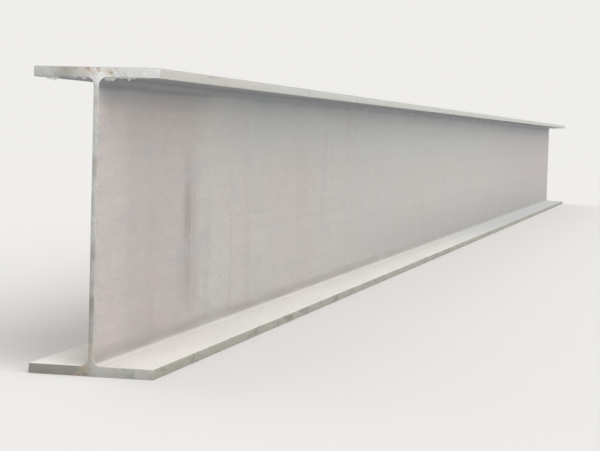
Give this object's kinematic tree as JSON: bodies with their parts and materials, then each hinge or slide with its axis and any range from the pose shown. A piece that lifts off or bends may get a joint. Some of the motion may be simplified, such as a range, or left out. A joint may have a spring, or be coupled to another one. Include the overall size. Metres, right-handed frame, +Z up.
{
  "type": "steel h-beam",
  "caption": "Hot-rolled parallel-flange steel h-beam with root fillets and square sawn ends, for columns, girders and frames.",
  "frame": {"origin": "centre of the underside of the lower flange, at the middle of the beam's length", "axes": "+X along the beam, from the end nearest the camera to the far end; +Z up, along the web, from the lower flange to the upper one; +Y across the flanges"},
  "size_m": [12, 0.3, 0.7],
  "materials": {
    "mill_steel": "matte"
  },
  "bodies": {
    "root": {"h_beam": "mill_steel"}
  },
  "joints": []
}
